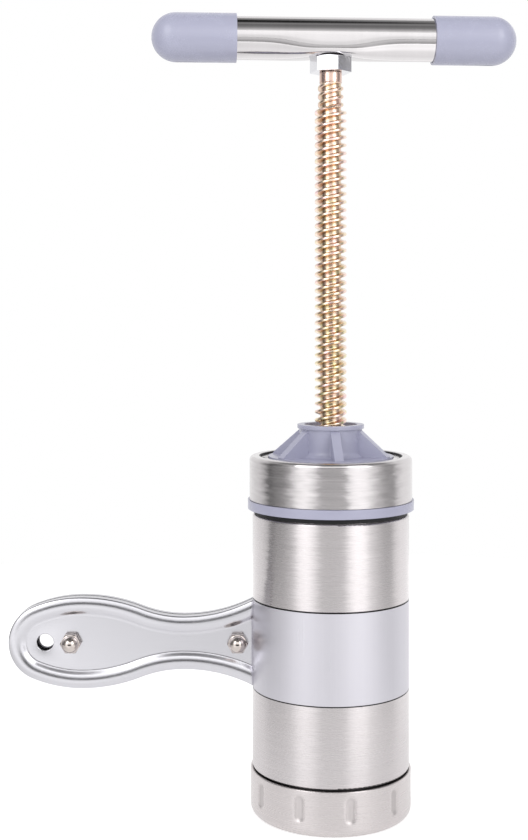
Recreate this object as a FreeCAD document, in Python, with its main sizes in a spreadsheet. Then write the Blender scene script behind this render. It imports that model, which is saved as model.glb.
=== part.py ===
import FreeCAD, Part
import math
import os
import Sketcher

# Hand cranked pasta extruder: a screw press with a threaded lid, a barrel with a stamped side
# handle, and a ring that holds the die. Millimetres. Z is up along the spindle, the origin is the
# centre of the ring's underside, the handle points to -X and the front is -Y.

# Every driving size, each written once. Derived sizes are worked out from these below.
sizes = {
    # barrel
    "barrelRadius": 30.0,
    "barrelWall": 2.8,
    "neckWall": 1.5,
    "spigotWall": 2.1,
    "lowerSleeveLength": 30.2,
    "upperSleeveLength": 32.3,
    "neckLength": 15.6,
    "sleeveRound": 0.6,
    # ring and die
    "ringWall": 1.1,
    "ringHeight": 17.1,
    "ringGap": 0.6,
    "ringRound": 3.0,
    "ringLip": 1.3,
    "ringLipReach": 2.2,
    "dimpleCount": 10,
    "dimpleRadius": 4.0,
    "dimpleDepth": 0.55,
    "dimpleStraight": 5.2,
    "dimpleHeight": 10.3,
    "dimpleAngle": 32.0,
    "dieMargin": 0.8,
    "dieThickness": 2.6,
    "dieRound": 0.8,
    "dieHoleRadius": 1.7,
    "dieHolePitch": 7.2,
    # handle
    "bandHeight": 33.6,
    "sheetWall": 0.9,
    "handleThickness": 9.0,
    "waistPast": 26.2,
    "bulbPast": 38.9,
    "tipPast": 28.2,
    "bulbHalfHeight": 17.4,
    "bulbTipRadius": 14.7,
    "waistHalfHeight": 10.1,
    "bulbShoulderRadius": 62.0,
    "rootMargin": 0.5,
    "beadWidth": 5.65,
    "beadRise": 1.7,
    "beadSlope": 1.9,
    "edgeRound": 2.4,
    "shellSeam": 0.8,
    "hangHoleRadius": 3.2,
    "hangHolePast": 10.0,
    "outerBoltPast": 4.3,
    "innerBoltPast": 5.7,
    # handle fasteners
    "boltRadius": 2.0,
    "boltHeadRadius": 3.8,
    "boltHeadHeight": 2.3,
    "boltTail": 3.4,
    "capNutAcrossFlats": 7.0,
    "capNutHexHeight": 3.0,
    "capNutDomeRise": 2.6,
    "spacerWall": 1.4,
    # lid
    "lidStandOff": 2.1,
    "sealWall": 0.6,
    "coverOverhang": 1.2,
    "flangeOverhang": 0.65,
    "flangeHeight": 3.45,
    "coverWall": 0.8,
    "coverHeight": 16.55,
    "coverRound": 1.6,
    "rimWidth": 3.7,
    "plateDrop": 0.7,
    "gasketWall": 0.5,
    "gasketHeight": 0.5,
    "coreWall": 2.6,
    "plateWidth": 3.5,
    "discRise": 0.6,
    "bossRadius": 12.1,
    "bossLip": 0.7,
    "bossLipHeight": 1.5,
    "bossHeight": 12.1,
    "bossFillet": 2.2,
    "ribCount": 6,
    "ribThickness": 3.4,
    "ribTopDrop": 2.0,
    "ribToeRise": 0.4,
    "ribAngle": -85.0,
    "bossWall": 1.9,
    "nutRecess": 1.5,
    "nutFlangeWidth": 3.7,
    "nutFlangeHeight": 2.6,
    "nutLength": 28.0,
    # spindle and crossbar
    "threadRadius": 6.12,
    "threadDepth": 2.1,
    "threadCrest": 1.1,
    "threadFlank": 0.5,
    "threadPitch": 3.11,
    "threadStarts": 2,
    "threadAngle": -55.0,
    "threadSides": 20,
    "reliefDepth": 1.2,
    "spindleNeckRadius": 4.3,
    "threadLength": 152.0,
    "reliefLength": 9.5,
    "spindleNeckLength": 4.0,
    "tenonRadius": 3.4,
    "pivotRadius": 3.0,
    "pivotLength": 4.2,
    "lockNutAcrossFlats": 14.0,
    "lockNutHeight": 5.8,
    "lockNutAngle": -102.0,
    "crossbarRadius": 8.3,
    "crossbarWall": 2.0,
    "crossbarLength": 104.0,
    "crossbarOffset": 1.7,
    "crossbarAngle": 3.5,
    "dentDepth": 1.2,
    "dentRadius": 45.0,
    "gripRadius": 9.4,
    "gripLength": 32.5,
    "gripOverlap": 14.0,
    # piston
    "pistonMargin": 0.2,
    "pistonThickness": 1.6,
    "pistonSkirt": 6.4,
    "pistonClearance": 1.2,
    "sealLength": 3.0,
    "washerRadius": 7.0,
    "washerThickness": 1.2,
    "screwHeadRadius": 5.0,
    "screwHeadHeight": 2.4,
    # clearances
    "seatGap": 0.2,
    "curveGap": 0.3,
    "runningFit": 0.08,
    "seam": 0.15,
}


# A size with its value and the formula that binds it to the sheet.
class Length:
    def __init__(self, value, formula):
        self.value = float(value)
        self.formula = formula

    def __add__(self, other):
        return Length(self.value + other.value, f"({self.formula} + {other.formula})")

    def __sub__(self, other):
        return Length(self.value - other.value, f"({self.formula} - {other.formula})")

    def __neg__(self):
        return Length(-self.value, f"(-{self.formula})")

    def __mul__(self, factor):
        return Length(self.value * factor, f"({self.formula} * {factor})")

    def __truediv__(self, factor):
        return Length(self.value / factor, f"({self.formula} / {factor})")


doc = FreeCAD.newDocument("PastaExtruder")
sheet = doc.addObject("Spreadsheet::Sheet", "Sizes")
for row, (word, number) in enumerate(sizes.items(), start=1):
    sheet.set(f"A{row}", word)
    sheet.set(f"B{row}", str(number))
    sheet.setAlias(f"B{row}", word)
doc.recompute()


def size(word):
    return Length(sizes[word], f"Sizes.{word}")


zero = Length(0.0, "0")


def bind(target, name, length):
    setattr(target, name, length.value)
    target.setExpression(name, length.formula)


def placeAt(target, x, y, z, axis=(0, 0, 1), angle=None):
    turn = FreeCAD.Rotation(FreeCAD.Vector(*axis), angle.value if angle else 0.0)
    target.Placement = FreeCAD.Placement(FreeCAD.Vector(x.value, y.value, z.value), turn)
    target.setExpression("Placement.Base.x", x.formula)
    target.setExpression("Placement.Base.y", y.formula)
    target.setExpression("Placement.Base.z", z.formula)
    if angle:
        target.setExpression("Placement.Rotation.Angle", angle.formula)


def originPlane(body, role):
    for feature in body.Origin.OriginFeatures:
        if feature.Role == role:
            return feature
    raise ValueError(role)


def newSketch(body, name, role):
    sketch = body.newObject("Sketcher::SketchObject", name)
    sketch.AttachmentSupport = [(originPlane(body, role), "")]
    sketch.MapMode = "FlatFace"
    return sketch


# Ties one sketch point to a place along one sketch axis.
def pinPoint(sketch, line, kind, length):
    if length is zero:
        sketch.addConstraint(Sketcher.Constraint("PointOnObject", line, 1, -2 if kind == "DistanceX" else -1))
        return
    index = sketch.addConstraint(Sketcher.Constraint(kind, -1, 1, line, 1, length.value))
    sketch.setExpression(f"Constraints[{index}]", length.formula)


# Draws a closed outline through corners given as pairs of Length.
def drawOutline(sketch, corners):
    places = [FreeCAD.Vector(x.value, y.value, 0) for x, y in corners]
    count = len(corners)
    for index in range(count):
        sketch.addGeometry(Part.LineSegment(places[index], places[(index + 1) % count]), False)
    for index in range(count):
        sketch.addConstraint(Sketcher.Constraint("Coincident", index, 2, (index + 1) % count, 1))
    for index, (x, y) in enumerate(corners):
        pinPoint(sketch, index, "DistanceX", x)
        pinPoint(sketch, index, "DistanceY", y)


def edgesNear(shape, radius, height, tolerance=0.01):
    names = []
    for index, edge in enumerate(shape.Edges, start=1):
        curve = edge.Curve
        if curve.TypeId != "Part::GeomCircle":
            continue
        if abs(curve.Radius - radius) < tolerance and abs(curve.Center.z - height) < tolerance:
            names.append(f"Edge{index}")
    return names


# Rounds the turned edges that lie at the given radius and height.
def roundTurned(body, corners, radius):
    doc.recompute()
    base = body.Tip
    names = []
    for across, height in corners:
        names += edgesNear(base.Shape, across.value, height.value)
    fillet = body.newObject("PartDesign::Fillet", f"{body.Label}_round")
    fillet.Base = (base, names)
    bind(fillet, "Radius", radius)
    body.Tip = fillet
    return fillet


# A turned piece from a half section of (radius, height) corners.
def turned(name, corners):
    body = doc.addObject("PartDesign::Body", name)
    body.Label = name
    sketch = newSketch(body, f"{name}_section", "XZ_Plane")
    drawOutline(sketch, corners)
    spin = body.newObject("PartDesign::Revolution", f"{name}_turned")
    spin.Profile = sketch
    spin.ReferenceAxis = (sketch, ["V_Axis"])
    spin.Angle = 360.0
    body.Tip = spin
    return body


def polarPattern(body, original, sketch, count):
    pattern = body.newObject("PartDesign::PolarPattern", f"{original.Label}_pattern")
    pattern.Originals = [original]
    pattern.Axis = (sketch, ["V_Axis"] if sketch.AttachmentSupport[0][0].Role == "XZ_Plane" else ["N_Axis"])
    pattern.Angle = 360.0
    pattern.Occurrences = count
    body.Tip = pattern
    return pattern


def addCylinder(name, radius, height):
    tool = doc.addObject("Part::Cylinder", name)
    bind(tool, "Radius", radius)
    bind(tool, "Height", height)
    return tool


def addHex(name, acrossFlats, height):
    tool = doc.addObject("Part::Prism", name)
    tool.Polygon = 6
    bind(tool, "Circumradius", acrossFlats / (2 * math.cos(math.radians(30))))
    bind(tool, "Height", height)
    return tool


def fuse(name, pieces):
    joined = doc.addObject("Part::MultiFuse", name)
    joined.Shapes = pieces
    joined.Refine = True
    joined.Label = name
    return joined


def cut(name, base, tool):
    result = doc.addObject("Part::Cut", name)
    result.Base = base
    result.Tool = tool
    result.Refine = True
    result.Label = name
    return result


# Radii from the barrel's wall in and out.
barrelRadius = size("barrelRadius")
boreRadius = barrelRadius - size("barrelWall")
neckRadius = boreRadius + size("neckWall")
spigotRadius = boreRadius + size("spigotWall")
ringInner = spigotRadius + size("curveGap")
ringRadius = ringInner + size("ringWall")
ringOpening = boreRadius - size("ringLipReach")
dieRadius = ringInner - size("dieMargin")
pistonRadius = boreRadius - size("pistonMargin")
coverRadius = barrelRadius + size("coverOverhang")
flangeRadius = coverRadius + size("flangeOverhang")
rimInner = coverRadius - size("rimWidth")
discRadius = rimInner - size("plateWidth")
nutSeat = size("bossRadius") - size("bossWall")
nutRadius = nutSeat - size("seatGap")
nutFlangeRadius = nutRadius + size("nutFlangeWidth")
threadRoot = size("threadRadius") - size("threadDepth")

# Reaches along the handle, from the axis to -X.
waistReach = barrelRadius + size("waistPast")
bulbReach = waistReach + size("bulbPast")
handleReach = bulbReach + size("tipPast")
innerBoltReach = barrelRadius + size("innerBoltPast")
outerBoltReach = bulbReach + size("outerBoltPast")
hangHoleReach = outerBoltReach + size("hangHolePast")

# Heights from the ring's underside up.
dieBottom = size("ringLip") + size("seatGap")
dieTop = dieBottom + size("dieThickness")
barrelBottom = dieTop + size("seatGap")
ringTop = size("ringHeight")
lowerShoulder = ringTop + size("ringGap")
bandBottom = lowerShoulder + size("lowerSleeveLength")
bandTop = bandBottom + size("bandHeight")
bandMiddle = bandBottom + size("bandHeight") / 2
upperShoulder = bandTop + size("upperSleeveLength")
barrelTop = upperShoulder + size("neckLength")
lidBottom = upperShoulder + size("lidStandOff")
flangeTop = lidBottom + size("flangeHeight")
coverBottom = flangeTop + size("seam")
coverTop = coverBottom + size("coverHeight")
plateTop = coverTop - size("plateDrop")
plateBottom = plateTop - size("coverWall")
coreTop = plateBottom - size("seam")
discTop = plateTop + size("discRise")
bossTop = discTop + size("bossHeight")
nutTop = bossTop - size("nutRecess")
nutBottom = nutTop - size("nutLength")
nutFlangeTop = nutBottom + size("nutFlangeHeight")
coreBottom = coreTop - size("coreWall")
pistonTop = nutBottom - size("pistonClearance")
pistonBottom = pistonTop - size("pistonThickness")


# The barrel: a bored tube with a thread spigot below, a seat for the band and a thread neck above.
def makeBarrel():
    seatRadius = barrelRadius - size("sheetWall") - size("seatGap")
    outer = barrelRadius
    low = bandBottom - size("seam")
    high = bandTop + size("curveGap")
    corners = [
        (boreRadius, barrelBottom),
        (spigotRadius, barrelBottom),
        (spigotRadius, lowerShoulder),
        (outer, lowerShoulder),
        (outer, low),
        (seatRadius, low),
        (seatRadius, high),
        (outer, high),
        (outer, upperShoulder),
        (neckRadius, upperShoulder),
        (neckRadius, barrelTop),
        (boreRadius, barrelTop),
    ]
    body = turned("barrel", corners)
    roundTurned(body, [(outer, lowerShoulder), (outer, upperShoulder)], size("sleeveRound"))
    return body


# The outline of the handle, drawn in as far as inset, as tangent arcs in the XZ plane.
def handleArcs(inset):
    middle = bandMiddle.value
    reach = handleReach.value - inset
    bulb = bulbReach.value
    half = sizes["bulbHalfHeight"] - inset
    tip = sizes["bulbTipRadius"] - inset
    run = reach - bulb
    side = ((run - tip) ** 2 + half**2 - tip**2) / (2 * (half - tip))
    waist = waistReach.value
    waistHalf = sizes["waistHalfHeight"] - inset
    swing = 2 * math.atan2(half - waistHalf, bulb - waist)
    both = (bulb - waist) / math.sin(swing)
    shoulder = sizes["bulbShoulderRadius"] - inset
    hollow = both - shoulder
    rootRise = sizes["bandHeight"] / 2 - sizes["rootMargin"] - sizes["waistHalfHeight"]
    flare = (sizes["waistPast"] ** 2 + rootRise**2) / (2 * rootRise) + inset
    lean = math.asin((waist - boreRadius.value) / flare)
    tipSwing = math.atan2(side - half, run - tip)

    def around(x, z, radius, degrees):
        angle = math.radians(degrees)
        return FreeCAD.Vector(x + radius * math.cos(angle), z + radius * math.sin(angle), 0)

    tipEnd = 180 - math.degrees(tipSwing)
    turn = math.degrees(swing)
    upper = [
        (-reach + tip, 0.0, tip, 180.0, tipEnd),
        (-bulb, half - side, side, tipEnd, 90.0),
        (-bulb, half - shoulder, shoulder, 90.0, 90.0 - turn),
        (-waist, waistHalf + hollow, hollow, 270.0 - turn, 270.0),
        (-waist, waistHalf + flare, flare, 270.0, 270.0 + math.degrees(lean)),
    ]
    arcs = []
    for x, z, radius, start, end in upper:
        stops = [around(x, z, radius, start + (end - start) * share) for share in (0.0, 0.5, 1.0)]
        arcs.append(stops)
    mirrored = [[FreeCAD.Vector(p.x, -p.y, 0) for p in reversed(stops)] for stops in reversed(arcs)]
    for stops in arcs + mirrored:
        for index, place in enumerate(stops):
            stops[index] = FreeCAD.Vector(place.x, place.y + middle, 0)
    return arcs + mirrored


def drawHandle(sketch, inset):
    chain = handleArcs(inset)
    for start, middle, end in chain:
        sketch.addGeometry(Part.Arc(start, middle, end), False)
    sketch.addGeometry(Part.LineSegment(chain[4][2], chain[5][0]), False)
    for index in range(len(chain) + 1):
        sketch.addConstraint(Sketcher.Constraint("Block", index))


def handleSketch(body, name, inset):
    sketch = newSketch(body, name, "XZ_Plane")
    drawHandle(sketch, inset)
    return sketch


def padBothWays(body, name, sketch, length, kind="PartDesign::Pad"):
    feature = body.newObject(kind, name)
    feature.Profile = sketch
    feature.Midplane = True
    bind(feature, "Length", length)
    body.Tip = feature
    return feature


# The band round the barrel, flush with its sleeves, which carries the handle.
def makeBand():
    return turned("handle_band", [
        (barrelRadius - size("sheetWall"), bandBottom),
        (barrelRadius, bandBottom),
        (barrelRadius, bandTop),
        (barrelRadius - size("sheetWall"), bandTop),
    ])


# The hollow of the pressed panel on one side, wider toward the face as the bead slopes.
def panelHollow(word, side):
    depth = size("handleThickness") / 2 - size("beadRise")
    outside = size("beadRise") * 1.2
    quarter = Length(90.0, "90")
    sections = []
    for index, (inset, height) in enumerate((
        (sizes["beadWidth"], depth),
        (sizes["beadWidth"] - sizes["beadSlope"] * 1.2, depth + outside),
    )):
        sketch = doc.addObject("Sketcher::SketchObject", f"handle_{word}_hollow_{index}")
        drawHandle(sketch, inset)
        placeAt(sketch, zero, height * side, zero, (1, 0, 0), quarter)
        sections.append(sketch)
    hollow = doc.addObject("Part::Loft", f"handle_{word}_hollow")
    hollow.Sections = sections
    hollow.Solid = True
    hollow.Ruled = True
    return hollow


# The handle: two pressed shells with a rolled bead, which meet at a seam and end at the band.
def makeHandle():
    outer = doc.addObject("PartDesign::Body", "handle_outer")
    base = padBothWays(outer, "handle_blank", handleSketch(outer, "handle_outline", 0.0), size("handleThickness"))
    doc.recompute()
    half = sizes["handleThickness"] / 2
    names = []
    for index, edge in enumerate(base.Shape.Edges, start=1):
        flat = all(abs(abs(vertex.Y) - half) < 0.01 for vertex in edge.Vertexes)
        if flat and edge.Curve.TypeId == "Part::GeomCircle":
            names.append(f"Edge{index}")
    fillet = outer.newObject("PartDesign::Fillet", "handle_edge")
    fillet.Base = (base, names)
    bind(fillet, "Radius", size("edgeRound"))
    outer.Tip = fillet

    cavity = doc.addObject("PartDesign::Body", "handle_cavity")
    inside = handleSketch(cavity, "handle_cavity_outline", sizes["sheetWall"])
    room = size("handleThickness") - (size("beadRise") + size("sheetWall")) * 2
    padBothWays(cavity, "handle_cavity_pad", inside, room)

    clear = addCylinder("band_room", barrelRadius + size("seam"), size("bandHeight") * 2)
    placeAt(clear, zero, zero, bandMiddle - size("bandHeight"))

    tools = [cavity, clear, panelHollow("front", -1), panelHollow("back", 1)]
    quarter = Length(90.0, "90")
    for name, reach, radius in (
        ("hang_hole", hangHoleReach, size("hangHoleRadius")),
        ("outer_bolt_hole", outerBoltReach, size("boltRadius") + size("seatGap")),
        ("inner_bolt_hole", innerBoltReach, size("boltRadius") + size("seatGap")),
    ):
        hole = addCylinder(name, radius, size("handleThickness") * 2)
        placeAt(hole, -reach, size("handleThickness"), bandMiddle, (1, 0, 0), quarter)
        tools.append(hole)
    strap = cut("handle_shells", outer, fuse("handle_cuts", tools))

    seam = size("shellSeam") / 2
    for name, low in (("front", -seam), ("back", seam - size("handleThickness"))):
        far = doc.addObject("Part::Box", f"handle_{name}_far_side")
        bind(far, "Length", handleReach * 2)
        bind(far, "Width", size("handleThickness"))
        bind(far, "Height", size("bandHeight") * 2)
        placeAt(far, -handleReach * 1.5, low, bandMiddle - size("bandHeight"))
        cut(f"handle_shell_{name}", strap, far)


# One bolt, its cap nut in front, and the spacer tube that keeps the shells apart.
def makeFasteners(word, reach):
    quarter = Length(90.0, "90")
    face = size("handleThickness") / 2 - size("beadRise")
    back = face + size("seatGap")
    nutFace = back
    shaft = addCylinder(f"{word}_shaft", size("boltRadius"), back + nutFace + size("boltTail"))
    placeAt(shaft, -reach, back, bandMiddle, (1, 0, 0), quarter)
    head = addCylinder(f"{word}_head", size("boltHeadRadius"), size("boltHeadHeight"))
    placeAt(head, -reach, back + size("boltHeadHeight"), bandMiddle, (1, 0, 0), quarter)
    fuse(f"handle_bolt_{word}", [shaft, head])

    hexagon = addHex(f"{word}_hex", size("capNutAcrossFlats"), size("capNutHexHeight"))
    placeAt(hexagon, -reach, -nutFace, bandMiddle, (1, 0, 0), quarter)
    neck = addCylinder(f"{word}_neck", size("capNutAcrossFlats") / 2 - size("seatGap"), size("capNutHexHeight"))
    placeAt(neck, -reach, -nutFace - size("seam"), bandMiddle, (1, 0, 0), quarter)
    dome = doc.addObject("Part::Sphere", f"{word}_dome")
    bind(dome, "Radius", size("capNutAcrossFlats") / 2 - size("seatGap"))
    dome.Angle1 = 0
    placeAt(dome, -reach, -nutFace - size("capNutHexHeight") - size("seam"), bandMiddle, (1, 0, 0), quarter)
    crown = fuse(f"{word}_crown", [hexagon, neck, dome])
    socket = addCylinder(f"{word}_socket", size("boltRadius") + size("runningFit"), size("boltTail") + size("seatGap"))
    placeAt(socket, -reach, -nutFace + size("seam"), bandMiddle, (1, 0, 0), quarter)
    cut(f"cap_nut_{word}", crown, socket)

    room = size("handleThickness") - (size("beadRise") + size("sheetWall") + size("seam")) * 2
    tube = addCylinder(f"{word}_tube", size("boltRadius") + size("seatGap") + size("spacerWall"), room)
    placeAt(tube, -reach, room / 2, bandMiddle, (1, 0, 0), quarter)
    hole = addCylinder(f"{word}_tube_bore", size("boltRadius") + size("seatGap"), room * 2)
    placeAt(hole, -reach, room, bandMiddle, (1, 0, 0), quarter)
    cut(f"handle_spacer_{word}", tube, hole)


# The retaining ring: a pressed cap with grip dimples round its wall.
def makeRing():
    outer = ringRadius
    inner = ringInner
    body = turned("retaining_ring", [
        (ringOpening, zero),
        (outer, zero),
        (outer, ringTop),
        (inner, ringTop),
        (inner, size("ringLip")),
        (ringOpening, size("ringLip")),
    ])
    roundTurned(body, [(outer, zero)], size("ringRound"))
    roundTurned(body, [(inner, size("ringLip"))], size("ringRound") - size("ringWall"))
    sketch = newSketch(body, "dimple_section", "XZ_Plane")
    centre = outer + size("dimpleRadius") - size("dimpleDepth")
    half = sizes["dimpleStraight"] / 2
    radius = sizes["dimpleRadius"]
    low = FreeCAD.Vector(centre.value, sizes["dimpleHeight"] - half, 0)
    high = FreeCAD.Vector(centre.value, sizes["dimpleHeight"] + half, 0)
    down = FreeCAD.Vector(0, radius, 0)
    side = FreeCAD.Vector(radius, 0, 0)
    slant = radius * math.sqrt(0.5)
    sketch.addGeometry(Part.LineSegment(low - down, high + down), False)
    sketch.addGeometry(Part.Arc(high + down, high + FreeCAD.Vector(-slant, slant, 0), high - side), False)
    sketch.addGeometry(Part.LineSegment(high - side, low - side), False)
    sketch.addGeometry(Part.Arc(low - side, low - FreeCAD.Vector(slant, slant, 0), low - down), False)
    for index in range(4):
        sketch.addConstraint(Sketcher.Constraint("Block", index))
    groove = body.newObject("PartDesign::Groove", "dimple")
    groove.Profile = sketch
    groove.ReferenceAxis = (sketch, ["Edge1"])
    groove.Angle = 360.0
    body.Tip = groove
    doc.recompute()
    polarPattern(body, groove, sketch, int(sizes["dimpleCount"]))
    placeAt(body, zero, zero, zero, (0, 0, 1), size("dimpleAngle"))
    return body


# The die: a disc with rings of round holes, held between the ring's lip and the barrel.
def makeDie():
    body = turned("die_plate", [
        (zero, dieBottom),
        (dieRadius, dieBottom),
        (dieRadius, dieTop),
        (zero, dieTop),
    ])
    roundTurned(body, [(dieRadius, dieBottom), (dieRadius, dieTop)], size("dieRound"))
    for index, count in enumerate((1, 6, 12)):
        sketch = newSketch(body, f"die_hole_{index}", "XY_Plane")
        place = size("dieHolePitch") * index
        centre = FreeCAD.Vector(place.value, 0, 0)
        sketch.addGeometry(Part.Circle(centre, FreeCAD.Vector(0, 0, 1), sizes["dieHoleRadius"]), False)
        radius = sketch.addConstraint(Sketcher.Constraint("Radius", 0, sizes["dieHoleRadius"]))
        sketch.setExpression(f"Constraints[{radius}]", size("dieHoleRadius").formula)
        sketch.addConstraint(Sketcher.Constraint("PointOnObject", 0, 3, -1))
        if index:
            across = sketch.addConstraint(Sketcher.Constraint("DistanceX", -1, 1, 0, 3, place.value))
            sketch.setExpression(f"Constraints[{across}]", place.formula)
        else:
            sketch.addConstraint(Sketcher.Constraint("PointOnObject", 0, 3, -2))
        hole = body.newObject("PartDesign::Pocket", f"die_bore_{index}")
        hole.Profile = sketch
        hole.Type = "ThroughAll"
        hole.Midplane = True
        body.Tip = hole
        doc.recompute()
        if count > 1:
            polarPattern(body, hole, sketch, count)
            doc.recompute()
    return body


# The lid's moulded core: skirt and flange, disc, boss and its ribs.
def makeLidCore():
    skirt = coverRadius - size("coverWall") - size("curveGap")
    neckRoom = neckRadius + size("curveGap")
    seat = nutSeat
    hub = nutFlangeRadius + size("curveGap")
    lipBottom = bossTop - size("bossLipHeight")
    body = turned("lid_core", [
        (neckRoom, lidBottom),
        (flangeRadius, lidBottom),
        (flangeRadius, flangeTop),
        (skirt, flangeTop),
        (skirt, coreTop),
        (discRadius, coreTop),
        (discRadius, discTop),
        (size("bossRadius"), discTop),
        (size("bossRadius"), lipBottom),
        (size("bossRadius") + size("bossLip"), lipBottom),
        (size("bossRadius") + size("bossLip"), bossTop),
        (seat, bossTop),
        (seat, nutFlangeTop + size("seatGap")),
        (hub, nutFlangeTop + size("seatGap")),
        (hub, coreBottom),
        (neckRoom, coreBottom),
    ])
    roundTurned(body, [(size("bossRadius"), discTop)], size("bossFillet"))
    sketch = newSketch(body, "rib_section", "XZ_Plane")
    inner = seat + size("seatGap")
    toe = discRadius - size("ribToeRise")
    drawOutline(sketch, [
        (inner, discTop - size("discRise")),
        (toe, discTop - size("discRise")),
        (toe, discTop + size("ribToeRise")),
        (size("bossRadius"), bossTop - size("ribTopDrop")),
        (inner, bossTop - size("ribTopDrop")),
    ])
    rib = padBothWays(body, "rib", sketch, size("ribThickness"))
    doc.recompute()
    polarPattern(body, rib, sketch, int(sizes["ribCount"]))
    placeAt(body, zero, zero, zero, (0, 0, 1), size("ribAngle"))
    return body


# The pressed steel cover that snaps over the core's skirt.
def makeLidCover():
    outer = coverRadius
    wall = size("coverWall")
    hole = discRadius + size("seatGap")
    body = turned("lid_cover", [
        (outer - wall, coverBottom),
        (outer, coverBottom),
        (outer, coverTop),
        (rimInner, coverTop),
        (rimInner, plateTop),
        (hole, plateTop),
        (hole, plateBottom),
        (rimInner + wall, plateBottom),
        (rimInner + wall, coverTop - wall),
        (outer - wall, coverTop - wall),
    ])
    roundTurned(body, [(outer, coverTop)], size("coverRound"))
    roundTurned(body, [(outer - wall, coverTop - wall)], size("coverRound") - size("coverWall"))
    return body


# The black ring in the corner between the cover's rim and its plate.
def makeLidGasket():
    outer = rimInner - size("runningFit")
    inner = outer - size("gasketWall")
    bottom = plateTop + size("runningFit")
    top = bottom + size("gasketHeight")
    return turned("lid_gasket", [(inner, bottom), (outer, bottom), (outer, top), (inner, top)])


def makeSpindleNut():
    bore = size("threadRadius") + size("runningFit")
    return turned("spindle_nut", [
        (bore, nutBottom),
        (nutFlangeRadius, nutBottom),
        (nutFlangeRadius, nutFlangeTop),
        (nutRadius, nutFlangeTop),
        (nutRadius, nutTop),
        (bore, nutTop),
    ])


def makeNeckSeal():
    inner = neckRadius + size("runningFit")
    bottom = upperShoulder + size("seatGap")
    top = lidBottom - size("seatGap")
    return turned("neck_seal", [
        (inner, bottom),
        (inner + size("sealWall"), bottom),
        (inner + size("sealWall"), top),
        (inner, top),
    ])


threadTop = pistonTop + size("threadLength") + size("seatGap")
reliefTop = threadTop + size("reliefLength")
spindleNeckTop = reliefTop + size("spindleNeckLength")
lockNutTop = spindleNeckTop + size("lockNutHeight")
crossbarHeight = lockNutTop + size("crossbarRadius") - size("dentDepth") + size("seam")


# Corners of the thread's section from one root to the next: (height from the crest, radius).
def threadSection():
    crest = sizes["threadCrest"] / 2
    foot = crest + sizes["threadFlank"]
    root = threadRoot.value
    top = sizes["threadRadius"]
    return [(-foot, root), (-crest, top), (crest, top), (foot, root)]


# The thread's skin as triangles: one column of corners a side, each a step further up the helix.
def threadSkin(low, high):
    pitch = sizes["threadPitch"]
    starts = sizes["threadStarts"]
    sides = sizes["threadSides"]
    section = threadSection()
    crests = range(-starts - 1, int((high - low) / pitch) + 2)
    places = {}
    triangles = []

    def corner(side, crest, index):
        rise, radius = section[index]
        height = low + crest * pitch + rise + starts * pitch * side / sides
        if height < low or height > high:
            height = min(max(height, low), high)
            radius = threadRoot.value
        angle = math.radians(sizes["threadAngle"]) + 2 * math.pi * (side % sides) / sides
        place = (round(radius * math.cos(angle), 6), round(radius * math.sin(angle), 6), round(height, 6))
        return places.setdefault(place, len(places))

    def triangle(*corners):
        if len(set(corners)) == 3:
            triangles.append(corners)

    for side in range(sides):
        left = [corner(side, crest, index) for crest in crests for index in range(4)]
        right = [corner(side + 1, crest, index) for crest in crests for index in range(4)]
        for lower in range(len(left) - 1):
            triangle(left[lower], right[lower], right[lower + 1])
            triangle(left[lower], right[lower + 1], left[lower + 1])
    for height in (low, high):
        centre = places.setdefault((0.0, 0.0, round(height, 6)), len(places))
        for side in range(sides):
            ends = [place for place in (side, side + 1)]
            rim = [corner(end, crests[0] if height == low else crests[-1], 0) for end in ends]
            if height == low:
                rim.reverse()
            triangle(centre, *rim)
    points = [FreeCAD.Vector(*place) for place in places]
    return points, triangles


# The spindle: a turned core with its pivot, relief, neck and tenon, and the rolled thread on it.
def makeSpindle():
    pivotBottom = pistonBottom - size("washerThickness") - size("seatGap") * 2
    tenonTop = crossbarHeight + size("crossbarRadius") - size("crossbarWall") - size("tenonRadius") * 0.4
    core = turned("spindle_core", [
        (zero, pivotBottom),
        (size("pivotRadius"), pivotBottom),
        (size("pivotRadius"), threadTop),
        (size("threadRadius") - size("reliefDepth"), threadTop),
        (size("threadRadius") - size("reliefDepth"), reliefTop),
        (size("spindleNeckRadius"), reliefTop),
        (size("spindleNeckRadius"), spindleNeckTop),
        (size("tenonRadius"), spindleNeckTop),
        (size("tenonRadius"), tenonTop),
        (zero, tenonTop),
    ])
    low = pistonTop + size("seatGap")
    skin = Part.Shape()
    skin.makeShapeFromMesh(threadSkin(low.value, threadTop.value + sizes["seatGap"]), 0.0001)
    thread = doc.addObject("Part::Feature", "spindle_thread")
    thread.Shape = Part.Solid(skin.Shells[0])
    return fuse("spindle", [core, thread])


def makeLockNut():
    hexagon = addHex("lock_hex", size("lockNutAcrossFlats"), size("lockNutHeight"))
    placeAt(hexagon, zero, zero, spindleNeckTop + size("seam"), (0, 0, 1), size("lockNutAngle") + Length(30.0, "30"))
    bore = addCylinder("lock_bore", size("tenonRadius") + size("seatGap"), size("lockNutHeight") * 2)
    placeAt(bore, zero, zero, spindleNeckTop - size("seatGap"))
    chamfer = doc.addObject("Part::Cone", "lock_chamfer")
    slope = size("lockNutHeight") * 1.7320508
    bind(chamfer, "Radius1", size("lockNutAcrossFlats") / 2 + slope)
    bind(chamfer, "Radius2", size("lockNutAcrossFlats") / 2)
    bind(chamfer, "Height", size("lockNutHeight"))
    placeAt(chamfer, zero, zero, spindleNeckTop + size("seam"))
    shaped = doc.addObject("Part::MultiCommon", "lock_shaped")
    shaped.Shapes = [hexagon, chamfer]
    return cut("lock_nut", shaped, bore)


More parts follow.
